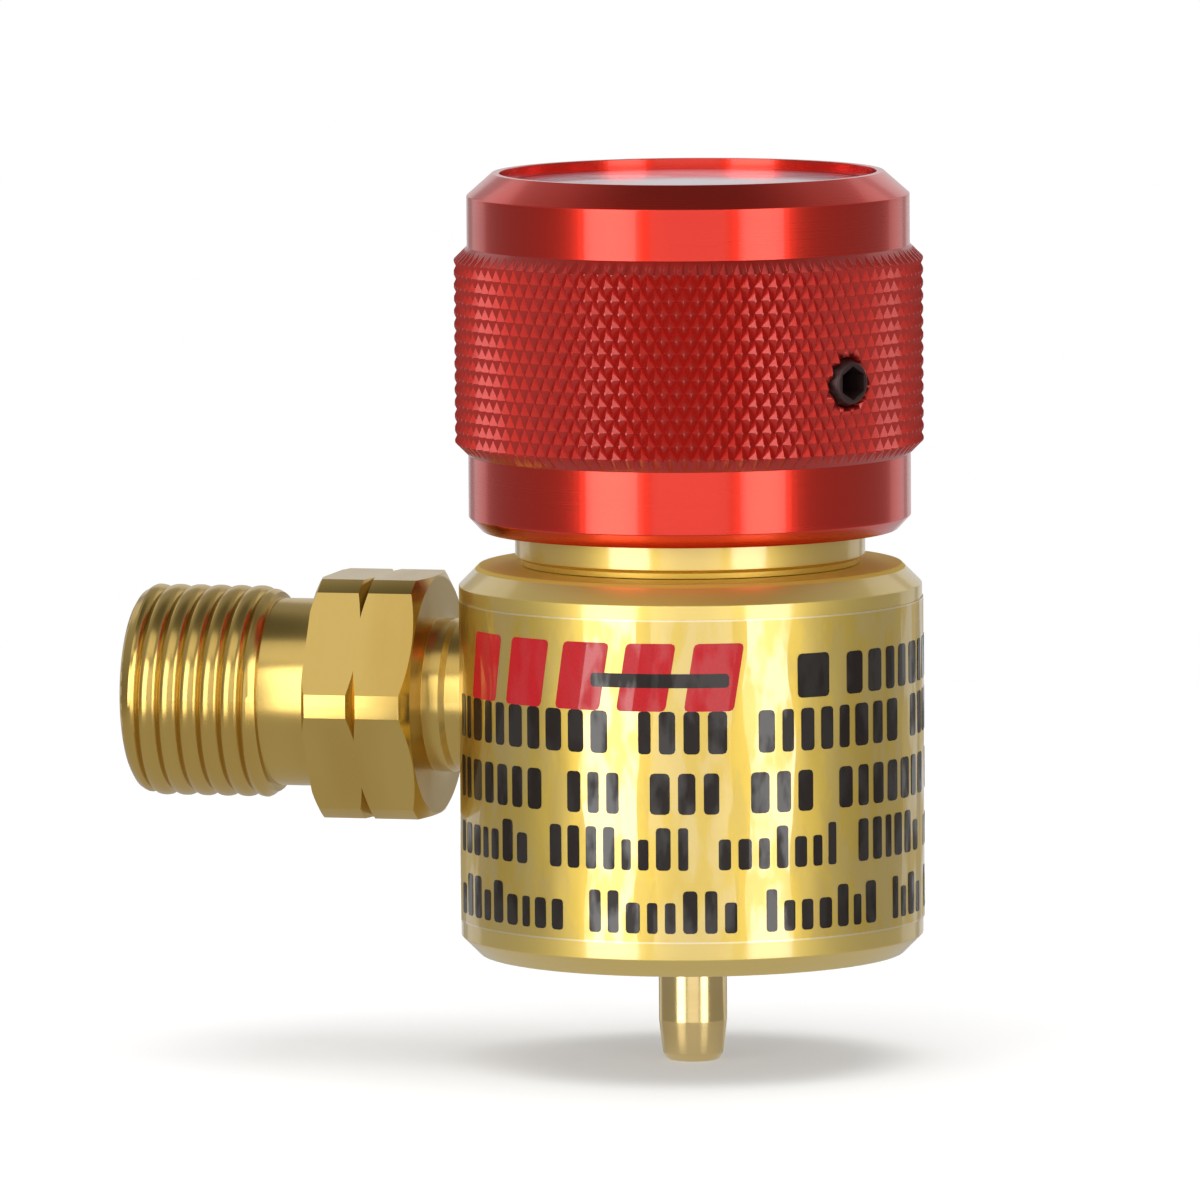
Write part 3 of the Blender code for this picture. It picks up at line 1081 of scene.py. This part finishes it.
@dataclass(frozen=True)
class Plate:
    """A thin block of ink with rounded corners, wrapped round the body.

    Attributes:
        start: The angle of its first edge, in degrees.
        low: Its lower edge.
        width: Its width round the body.
        height: Its height.
        lean: How far its top leans along the row.
    """

    start: float
    low: float
    width: float
    height: float
    lean: float = 0.0

    def add_to(self, mesh: bmesh.types.BMesh, inner: float, outer: float) -> None:
        """Adds the block to a mesh.

        Args:
            mesh: The mesh, in millimetres.
            inner: The radius of its inside.
            outer: The radius of its outside.
        """
        corner = min(0.3, self.width * 0.25, self.height * 0.25)
        across = {0.0, 0.3 * corner, corner, self.width - corner, self.width - 0.3 * corner, self.width}
        across.update(float(place) for place in np.arange(corner + 0.5, self.width - corner, 0.5))
        columns = []
        for place in sorted(across):
            reach = max(corner - min(place, self.width - place), 0.0)
            trim = corner - math.sqrt(corner**2 - reach**2)
            top = self.height - trim
            column = []
            for radius, high in ((inner, trim), (outer, trim), (outer, top), (inner, top)):
                along = place + self.lean * high / self.height
                angle = math.radians(self.start) + along / outer
                x, y = radius * math.cos(angle), radius * math.sin(angle)
                column.append(mesh.verts.new((x, y, self.low + high)))
            columns.append(column)
        for near, far in zip(columns, columns[1:]):
            for side in range(4):
                after = (side + 1) % 4
                mesh.faces.new((near[side], near[after], far[after], far[side]))
        mesh.faces.new(columns[0])
        mesh.faces.new(columns[-1])


@dataclass
class PrintedFilm:
    """The film round the body, with plain blocks where the print would be.

    Attributes:
        radius: The body's radius.
        low: The film's lower edge.
        high: The film's upper edge.
        gap: Half the angle left free at the outlet, in degrees.
    """

    radius: float = 15.875
    low: float = 2.4
    high: float = 24.4
    gap: float = 20.0

    def build(self) -> None:
        """Wraps the film and prints it."""
        film = self.film()
        settle(dress(film, ClearFilm().build()), Body.HOUSING, "body_label")
        dark = self.blocks("label_blocks", self.dark_rows())
        settle(dress(dark, DARK_INK.build()), Body.HOUSING)
        red = self.blocks("label_bars", self.red_bars())
        settle(dress(red, RED_INK.build()), Body.HOUSING)

    def film(self) -> bpy.types.Object:
        """The film itself, a thin and slightly wavy wrap open at the outlet.

        Returns:
            The film.
        """
        inner, outer = self.radius + 0.03, self.radius + 0.085
        angles = np.radians(np.linspace(180.0 + self.gap, 540.0 - self.gap, 281))
        heights = np.linspace(self.low, self.high, 25)
        mesh = bmesh.new()
        sections = []
        for angle in angles:
            section = [(inner, self.high), (inner, self.low)]
            for z in heights:
                edge = min(1.0, (z - self.low) / 2, (self.high - z) / 2)
                swell = math.sin(23 * angle + 0.55 * z) + math.sin(37 * angle - 0.38 * z + 1.0)
                swell += 0.5 * math.sin(53 * angle + 0.9 * z)
                section.append((outer + 0.006 * edge * swell, z))
            cos, sin = math.cos(angle), math.sin(angle)
            sections.append([mesh.verts.new((radius * cos, radius * sin, z)) for radius, z in section])
        for near, far in zip(sections, sections[1:]):
            for side in range(len(near)):
                after = (side + 1) % len(near)
                mesh.faces.new((near[side], near[after], far[after], far[side]))
        mesh.faces.new(sections[0])
        mesh.faces.new(sections[-1])
        return finished(mesh, "label_film")

    def dark_rows(self) -> list[Plate]:
        """The dark blocks, in rows that run round the film.

        Returns:
            The blocks.
        """
        rng = np.random.default_rng(7)
        sign = Plate(-49.5, 18.9, 2.5, 3.0)
        crossbar = Plate(-101.5, 19.8, 9.6, 0.95)
        start = self.gap - 175.0
        rows = (
            (-35.0, 18.9, 2.9, 1.3, 0.6, False),
            (start, 15.3, 2.9, 1.15, 0.55, False),
            (start, 11.2, 2.8, 1.15, 0.55, False),
            (start, 7.4, 2.1, 0.9, 0.5, True),
            (start, 3.1, 2.1, 0.95, 0.5, True),
        )
        made = [sign, crossbar]
        for row in rows:
            made += self.row(rng, *row)
        return made

    def row(
        self,
        rng: np.random.Generator,
        start: float,
        low: float,
        height: float,
        width: float,
        space: float,
        mixed: bool,
    ) -> list[Plate]:
        """Lays blocks of uneven width in groups, from a start to the film's other end.

        Args:
            rng: Gives the widths.
            start: The angle where the row begins, in degrees.
            low: The blocks' lower edge.
            height: Their height.
            width: Their usual width.
            space: The gap between two blocks.
            mixed: True where some blocks stand taller.

        Returns:
            The blocks.
        """
        made = []
        angle, limit = start, 174.0 - self.gap
        while angle < limit:
            for _ in range(int(rng.integers(3, 11))):
                wide = width * float(rng.uniform(0.7, 1.2))
                tall = height * float(rng.choice([1.0, 1.0, 1.38])) if mixed else height
                step = math.degrees((wide + space) / self.radius)
                if angle + step < limit:
                    made.append(Plate(angle, low, wide, tall))
                angle += step
            angle += math.degrees(1.5 * space / self.radius + 0.05)
        return made

    def red_bars(self) -> list[Plate]:
        """The leaning red blocks at the head of the print."""
        return [Plate(-145.0 + 16.7 * place, 18.2, 3.4, 4.6, lean=0.75) for place in range(5)]

    def blocks(self, name: str, plates: Sequence[Plate]) -> bpy.types.Object:
        """Thin round-cornered plates that follow the film.

        Args:
            name: The object's name.
            plates: The plates.

        Returns:
            One object of all the plates.
        """
        mesh = bmesh.new()
        for plate in plates:
            plate.add_to(mesh, self.radius + 0.095, self.radius + 0.115)
        return finished(mesh, name)


@dataclass
class Outlet:
    """The brass side fitting, turned along its own +Z, which points along -X.

    Attributes:
        axis_z: The height of its axis.
        flat: Half the width across the hexagon's flats.
        corner: The radius that the hexagon's corners are turned to.
        end: The distance from the body's axis to its open end.
        sides: The points round it.
        phase: A height where a root of the thread crosses angle 0.
        tooth: The thread's tooth, as shares of the pitch and the depth.
    """

    axis_z: float = 17.3
    flat: float = 8.25
    corner: float = 9.1
    end: float = 38.9
    sides: int = 216
    phase: float = 0.0
    tooth: tuple[tuple[float, float], ...] = (
        (0.0, 0.0),
        (0.06, 0.30),
        (0.14, 0.62),
        (0.25, 0.86),
        (0.38, 0.98),
        (0.50, 1.0),
        (0.62, 0.98),
        (0.75, 0.86),
        (0.86, 0.62),
        (0.94, 0.30),
    )

    def hexagon_tool(self) -> bpy.types.Object:
        """A block round the fitting with a hexagonal hole, which leaves the six flats.

        Returns:
            The cutting tool.
        """
        across = self.flat / math.cos(math.pi / 6)
        outline = [(16, 17.4), (16, 26.0), (across, 26.0), (across, 17.4)]
        tool = Lathe(6).plain(outline).finish("hexagon_tool")
        return turned_to(tool, Matrix.Rotation(math.pi / 6, 4, "Z"))

    def build(self) -> None:
        """Turns the fitting, mirrors it so that its thread is left-hand, and dresses it."""
        back, front, notch = 17.85, 25.4, 21.8
        thread = Helix(29.25, self.end - 0.3, 6.92, 7.3, 1.459, self.phase, lead=0.6, form=self.tooth)
        lathe = Lathe(self.sides)
        lathe.plain(
            [
                (2.2, 11.0),
                (4.8, 11.0),
                (5.1, 11.4),
                (5.1, 16.2, 0.05),
                (5.3, 16.6, 0.1),
                (5.3, 17.8, 0.05),
                (6.9, 17.85),
            ]
        )
        lathe.plain(
            [
                (8.15, back, 0.1),
                (self.corner, back + 0.55, 0.1),
                (self.corner, notch - 0.34),
                (8.48, notch),
                (self.corner, notch + 0.34),
                (self.corner, front - 0.3, 0.1),
                (8.6, front, 0.1),
                (6.47, front, 0.15),
                (6.47, 29.15, 0.05),
                (6.88, 29.2),
            ]
        )
        lathe.thread(thread)
        lathe.plain(
            [
                (6.88, self.end - 0.25),
                (6.5, self.end, 0.1),
                (5.4, self.end, 0.1),
                (3.05, self.end - 4.0, 0.1),
                (3.05, self.end - 9.0),
                (2.2, self.end - 9.6),
            ]
        )
        fitting = lathe.finish("outlet_turned")
        cut(fitting, self.hexagon_tool())
        fitting.data.set_sharp_from_angle(angle=math.radians(18))
        fitting.data.transform(Matrix.Diagonal((1, -1, 1, 1)))
        fitting.data.flip_normals()
        turned_to(fitting, radial(math.pi, self.axis_z))
        settle(dress(fitting, SIDE_BRASS.build()), Body.HOUSING, "outlet_fitting")


@dataclass
class InletPin:
    """The brass pin that opens the cylinder's valve.

    Attributes:
        radius: The pin's radius.
        tip: The height of its tip.
        sides: The points round it.
    """

    radius: float = 2.35
    tip: float = -7.55
    sides: int = 72

    def build(self) -> None:
        """Turns the pin, drills it and dresses it."""
        lathe = Lathe(self.sides)
        lathe.plain(
            [
                (0, self.tip),
                (1.75, self.tip, 0.4),
                (2.1, self.tip + 0.5, 0.35),
                (2.22, self.tip + 1.6, 0.6),
                (self.radius, self.tip + 2.8, 1.0),
                (self.radius, 8.4),
                (4.6, 8.4, 0.2),
                (4.6, 9.8, 0.2),
                (3.05, 9.8),
                (3.05, 12.35),
                (1.9, 12.35),
                (1.9, 8.6),
                (0.8, 8.6),
                (0.8, 5.6),
                (0, 5.3),
            ]
        )
        pin = lathe.finish("inlet_pin_turned", closed=False)
        drill(pin, (0.65, -4, 4, 32), radial(0, 6.7))
        settle(dress(pin, PIN_BRASS.build()), Body.HOUSING, "inlet_pin")


@dataclass
class Knob:
    """The red cup with its knurled band, its disc and its set screw.

    Attributes:
        base: The height of its bottom face.
        height: Its height.
        band: The radius of the plain bands.
        crest: The radius of the knurl's points.
        depth: The knurl's depth.
        low: The knurl's lower edge above the base.
        high: The knurl's upper edge above the base.
        around: The diamonds round the band.
        rows: The half diamonds up the band and its two flares.
        blunt: How much of a diamond's point is missing.
        screw_z: The height of the set screw.
        screw_turn: The set screw's direction from +X.
    """

    base: float = 29.1
    height: float = 24.5
    band: float = 15.15
    crest: float = 16.05
    depth: float = 0.36
    low: float = 6.1
    high: float = 18.6
    around: int = 102
    rows: int = 16
    blunt: float = 0.14
    screw_z: float = 40.0
    screw_turn: float = math.radians(-33.0)

    def lattice(self, count: int) -> np.ndarray:
        """The places of the knurl's lines along count half diamonds, in half diamonds."""
        lines = (0.0, self.blunt, 1 - self.blunt)
        return np.array([half + share for half in range(count) for share in lines])

    def knurl(self, columns: np.ndarray, rows: np.ndarray) -> tuple[np.ndarray, np.ndarray]:
        """The diamonds' height at each crossing and the diagonal that each cell is split along.

        Args:
            columns: The places round the band, in half diamonds.
            rows: The places up the band, in half diamonds.

        Returns:
            Heights from 0 to 1, and True for the cells of the rising diagonals.
        """
        across, up = np.meshgrid(columns, rows)
        right = np.mod(across, 1.0)
        above = np.mod(up, 1.0)
        even = np.mod(np.floor(across) + np.floor(up), 2.0) == 0
        point = np.where(even, np.abs(1 - right - above), np.abs(right - above))
        return np.minimum(point / (1 - self.blunt), 1.0), ~even[:-1]

    def build(self) -> None:
        """Turns, knurls and drills the cup, and adds its disc and its screw."""
        columns = self.lattice(2 * self.around)
        rows = np.append(self.lattice(self.rows), float(self.rows)) - 1.0
        half = (self.high - self.low) / (self.rows - 2)
        angles = columns * math.pi / self.around
        heights, rising = self.knurl(columns, rows + 2.0)
        rings = []
        for row, height in zip(rows, heights):
            z = self.low + row * half
            beyond = max(0.0, self.low - z, z - self.high)
            flare = self.crest - (self.crest - self.band) * beyond / half
            radius = np.minimum(flare, self.crest - self.depth * (1 - height))
            rings.append(ring_points(radius, angles, z))
        lathe = Lathe(len(columns), angles)
        lathe.plain(
            [
                (12.25, 3.2),
                (12.25, 0.35),
                (12.6, 0, 0.05),
                (14.25, 0, 0.1),
                (self.band, 0.95, 0.12),
                (self.band, 1.2),
            ]
        )
        lathe.creased(np.array(rings), rising)
        lathe.plain(
            [
                (self.band, self.height - 1.8),
                (self.band, self.height - 1.55, 0.12),
                (13.4, self.height, 0.08),
                (12.9, self.height, 0.08),
                (12.9, 23.3),
                (0, 23.3),
            ]
        )
        skin = lathe.finish("knob_knurled", closed=False, sharp=20.0)
        turned_to(skin, Matrix.Translation((0, 0, self.base * MM)))
        drill(skin, (1.8, 10.6, 17.5, 64), radial(self.screw_turn, self.screw_z))
        settle(dress(skin, RED.build()), Body.KNOB, "knob")
        self.inside()
        self.disc()
        self.screw()

    def inside(self) -> None:
        """Turns the cup's threaded inside."""
        lathe = Lathe(144)
        lathe.plain([(12.25, 3.2), (11.15, 3.3)])
        phase = 30.6 + 0.75 - self.base
        tooth = ((0.0, 0.0), (0.5, 1.0))
        lathe.thread(Helix(3.4, 9.2, 11.15, 10.2, 1.5, phase=phase, lead=0.5, form=tooth))
        lathe.plain([(11.2, 9.5), (11.2, 19.1), (5.5, 19.1), (5.5, 17.7), (2.92, 17.7), (0, 19.05)])
        bore = lathe.finish("knob_bore", closed=False)
        bore.data.flip_normals()
        turned_to(bore, Matrix.Translation((0, 0, self.base * MM)))
        settle(dress(bore, RED.build()), Body.KNOB)

    def disc(self) -> None:
        """The glossy disc in the recess, a little domed."""
        bottom = self.base + self.height - 1.15
        points = [(0, bottom), (12.65, bottom), (12.65, bottom + 0.35, 0.08), (12.3, bottom + 0.42)]
        for radius in (10, 8, 6, 4, 2, 0):
            points.append((radius, bottom + 0.42 + 0.1 * (1 - (radius / 12.3) ** 2)))
        disc = Lathe(120).plain(points).finish("knob_disc_domed", closed=False)
        settle(dress(disc, WavyDisc().build()), Body.KNOB, "knob_disc")

    def screw(self) -> None:
        """The black socket screw, its rounded end a little proud of the knurl."""
        sixth = math.pi / 3

        def socket(angle: np.ndarray, z: float) -> np.ndarray:
            """The hexagon socket's radii."""
            return 1.0 / np.cos(np.mod(angle, sixth) - sixth / 2)

        lathe = Lathe(72)
        lathe.plain(
            [
                (0, 9.3),
                (0.85, 9.3),
                (1.0, 9.45),
                (1.0, 10.9),
                (1.62, 11.3),
                (1.62, 15.45, 0.15),
                (1.4, 16.1, 0.2),
                (1.2, 16.15),
            ]
        )
        lathe.shaped([16.15, 14.0], socket)
        lathe.plain([(0.9, 13.9), (0, 13.6)])
        screw = lathe.finish("set_screw_turned", closed=False)
        turned_to(screw, radial(self.screw_turn, self.screw_z))
        settle(dress(screw, BLACK_OXIDE.build()), Body.KNOB, "knob_set_screw")


@dataclass
class Coil:
    """A compression spring with closed ends.

    Attributes:
        mean: The radius of the wire's centreline.
        wire: The wire's radius.
        bottom: The height of its lower end.
        length: Its length.
        turns: Its turns.
    """

    mean: float
    wire: float
    bottom: float
    length: float
    turns: float

    def build(self, name: str, node: str, body: Body, joint: str, anchor: float, keep: float) -> None:
        """Winds the spring.

        Args:
            name: The piece's name.
            node: The node it stands for.
            body: What its moving end rides on.
            joint: The name of a joint in the frame; not used.
            anchor: The height of its end that doesn't move on that body; not used.
            keep: The share of its length left at the joint's limit; not used.
        """
        steps, sides = 40, 12
        total = round(self.turns * steps)
        closed_turns = 0.75
        dead = closed_turns / self.turns
        rise = self.length - 2 * self.wire - 3 * self.wire
        thin = self.wire * 0.98
        mesh = bmesh.new()
        rings = []
        for step in range(total + 1):
            share = step / total
            angle = math.tau * self.turns * share
            open_share = min(max((share - dead) / (1 - 2 * dead), 0.0), 1.0)
            closed = min(share, dead) + max(share - (1 - dead), 0.0)
            z = self.bottom + self.wire + rise * open_share + closed * self.turns * 2 * self.wire
            ring = []
            for side in range(sides):
                around = math.tau * side / sides
                radius = self.mean + thin * math.cos(around)
                height = z + thin * math.sin(around)
                point = (radius * math.cos(angle), radius * math.sin(angle), height)
                ring.append(mesh.verts.new(point))
            rings.append(ring)
        for near, far in zip(rings, rings[1:]):
            for side in range(sides):
                after = (side + 1) % sides
                mesh.faces.new((near[side], near[after], far[after], far[side]))
        mesh.faces.new(rings[0])
        mesh.faces.new(rings[-1])
        spring = dress(finished(mesh, name), WIRE.build())
        settle(spring, body, node)
        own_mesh(spring)


@dataclass
class InnerParts:
    """The pieces inside that keep their shape from the frame.

    Attributes:
        nodes: The frame's nodes by name.
    """

    nodes: dict[str, bpy.types.Object]

    def build(self) -> None:
        """Dresses each inner node and winds the springs."""
        wanted = {
            "valve_nozzle": (PIN_BRASS, "brass"),
            "piston": (PIN_BRASS, "brass"),
            "spring_button": (PIN_BRASS, "brass"),
            "nozzle_washer": (COPPER, "copper"),
            "poppet": (STEEL, "stainless"),
            "thrust_ball": (STEEL, "stainless"),
            "spring_washer": (STEEL, "stainless"),
            "socket_gasket": (RUBBER, "rubber"),
            "inlet_pin_o_ring": (RUBBER, "rubber"),
            "piston_o_ring": (RUBBER, "rubber"),
            "bonnet_gasket": (POLYMER, "polymer"),
            "valve_seat": (POLYMER, "polymer"),
            "inlet_filter": (SINTER, "sintered_bronze"),
        }
        made: dict[str, bpy.types.Material] = {}
        for node, (finish, slot) in wanted.items():
            if finish.name not in made:
                made[finish.name] = finish.build()
            dress(self.nodes[node], made[finish.name])
            LOG.info("%s: %s", node, finish.name)
        Coil(6.0, 0.8, 24.08, 16.1, 6.5).build(
            "range_spring_wound", "range_spring", Body.CARRIER, "knob_travel", 40.18, 0.87
        )
        Coil(1.3, 0.18, 9.72, 2.15, 4).build(
            "poppet_spring_wound", "poppet_spring", Body.HOUSING, "valve_stroke", 9.72, 0.76
        )


# ---------------------------------------------------------------- studio


def towards(turn: float, lift: float) -> Vector:
    """The direction of a place in the studio, seen from the object.

    Args:
        turn: Its turn in radians; 0 is in front and a right angle is at the right.
        lift: Its height above the horizon in radians.

    Returns:
        A vector of length 1.
    """
    level = math.cos(lift)
    return Vector((math.sin(turn) * level, -math.cos(turn) * level, math.sin(lift)))


@dataclass(frozen=True)
class Softbox:
    """A rectangular studio light.

    Attributes:
        name: The light's name.
        turn: Its direction seen from above, in degrees; 0 is in front and 90 at the right.
        lift: Its height above the horizon, in degrees.
        away: Its distance, in metres.
        width: Its width, in metres.
        height: Its height, in metres.
        brightness: How bright its face is; 1 is paper white.
        mirrored: Whether polished metal shows it.
    """

    name: str
    turn: float
    lift: float
    away: float
    width: float
    height: float
    brightness: float
    mirrored: bool = True

    def build(self, target: Vector) -> None:
        """Hangs the light.

        Args:
            target: What it faces.
        """
        back = towards(math.radians(self.turn), math.radians(self.lift))
        data = bpy.data.lights.new(self.name, "AREA")
        data.shape = "RECTANGLE"
        data.size, data.size_y = self.width, self.height
        data.energy = self.brightness * math.pi * self.width * self.height
        lamp = bpy.data.objects.new(self.name, data)
        bpy.context.scene.collection.objects.link(lamp)
        lamp.location = target + back * self.away
        lamp.rotation_euler = back.to_track_quat("Z", "Y").to_euler()
        lamp.visible_glossy = self.mirrored


@dataclass
class Studio:
    """The camera, the pale floor and the soft lights.

    Attributes:
        azimuth: The camera's turn round the object, in degrees.
        elevation: The camera's height above the horizon, in degrees.
        distance: The camera's distance from what it looks at, in metres.
        lens: The lens in millimetres on a 36 mm sensor.
        roll: The camera's tilt about its own axis, in degrees.
        aim: The height of the aim, in millimetres.
        aside: How far left of the body's axis it aims, in millimetres.
        floor_z: The floor's height, in millimetres.
    """

    azimuth: float = 14.0
    elevation: float = 5.8
    distance: float = 0.95
    lens: float = 415.8
    roll: float = 0.4
    aim: float = 24.2
    aside: float = 6.2
    floor_z: float = -7.56

    def camera(self) -> None:
        """Makes the scene's camera."""
        turn = math.radians(self.azimuth)
        back = towards(turn, math.radians(self.elevation))
        right = Vector((math.cos(turn), math.sin(turn), 0.0))
        target = Vector((0, 0, self.aim * MM)) - right * (self.aside * MM)
        data = bpy.data.cameras.new("camera")
        data.lens = self.lens
        data.sensor_width = 36.0
        data.clip_start, data.clip_end = 0.01, 20.0
        camera = bpy.data.objects.new("camera", data)
        bpy.context.scene.collection.objects.link(camera)
        camera.location = target + back * self.distance
        facing = (-back).to_track_quat("-Z", "Y").to_matrix().to_4x4()
        spin = Matrix.Rotation(math.radians(-self.roll), 4, "Z")
        camera.rotation_euler = (facing @ spin).to_euler()
        bpy.context.scene.camera = camera

    def floor(self) -> None:
        """Lays a pale floor that can be seen only from above."""
        reach, fade_start, fade_length, clearness = 310.0, 110.0, 190.0, 0.3
        bpy.ops.mesh.primitive_circle_add(vertices=96, radius=reach * MM, fill_type="NGON")
        floor = bpy.context.object
        floor.name = "floor"
        floor.location.z = self.floor_z * MM
        graph = Graph.material("pale_floor")
        x, y, z = graph.place()
        grain = graph.noise(graph.vector(x, y, z), 0.05, 3.0)
        pale = graph.mix(grain, (0.86, 0.86, 0.86), (0.84, 0.84, 0.84))
        graph.surface(Base_Color=pale, Roughness=0.7)
        under = Value(graph, graph.node("ShaderNodeNewGeometry").outputs["Backfacing"])
        outwards = (((x * x + y * y) ** 0.5 - fade_start) / fade_length).clamped()
        fade = (under + outwards + clearness).clamped()
        graph.output(fade, graph.node("ShaderNodeBsdfTransparent"))
        floor.data.materials.append(graph.owner)
        floor.visible_glossy = False

    def lights(self) -> None:
        """Hangs the soft lights."""
        target = Vector((0, 0, 0.025))
        boxes = (
            Softbox("left_box", -27.0, 8.0, 0.9, 0.46, 0.85, 3.5),
            Softbox("right_box", 52.5, 8.0, 0.9, 0.38, 0.85, 3.0),
            Softbox("front_fill", 14.0, 6.0, 1.5, 1.1, 1.2, 0.85),
            Softbox("upper_fill", -14.0, 54.0, 1.0, 0.9, 0.5, 0.7),
            Softbox("left_back_box", -128.0, 12.0, 0.9, 0.34, 0.85, 0.4),
            Softbox("right_back_box", 152.0, 12.0, 0.9, 0.34, 0.85, 0.4),
            Softbox("back_fill", 190.0, 8.0, 1.5, 1.1, 1.2, 0.4),
            Softbox("ceiling", 0.0, 90.0, 1.1, 1.2, 1.2, 3.4, mirrored=False),
        )
        for box in boxes:
            box.build(target)

    def sky(self) -> None:
        """Sets a world that is white behind the object and dim where metal mirrors it."""
        graph = Graph(bpy.data.worlds.new("studio"), "Background")
        place = graph.node("ShaderNodeTexCoord").outputs["Generated"]
        up = Value(graph, graph.node("ShaderNodeSeparateXYZ", inputs={0: place}).outputs["Z"])
        shades = (
            (0.0, 0.56),
            (0.34, 0.52),
            (0.43, 0.3),
            (0.5, 0.26),
            (0.725, 0.42),
            (0.9, 0.40),
            (0.98, 0.14),
        )
        stops = [(share, (shade, shade, shade)) for share, shade in shades]
        ramp = graph.node("ShaderNodeValToRGB", {"stops": stops}, {0: (up + 1.0) / 2.0})
        graph.feed(graph.shader.inputs["Color"], ramp.outputs[0])
        white = graph.node("ShaderNodeBackground", inputs={"Color": (1.0, 1.0, 1.0)})
        seen = Value(graph, graph.node("ShaderNodeLightPath").outputs["Is Camera Ray"])
        graph.output(seen, white)
        scene = bpy.context.scene
        scene.world = graph.owner
        scene.view_settings.view_transform = "Standard"

    def build(self) -> None:
        """Makes the whole studio."""
        self.camera()
        self.floor()
        self.lights()
        self.sky()


def main() -> None:
    """Builds the regulator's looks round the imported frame."""
    logging.basicConfig(level=logging.INFO, format="%(name)s %(message)s")
    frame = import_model()
    Studio().build()
    HousingBody().build()
    Bonnet().build()
    PrintedFilm().build()
    Outlet().build()
    InletPin().build()
    Knob().build()
    InnerParts(frame["nodes"]).build()


if __name__ == "__main__":
    main()
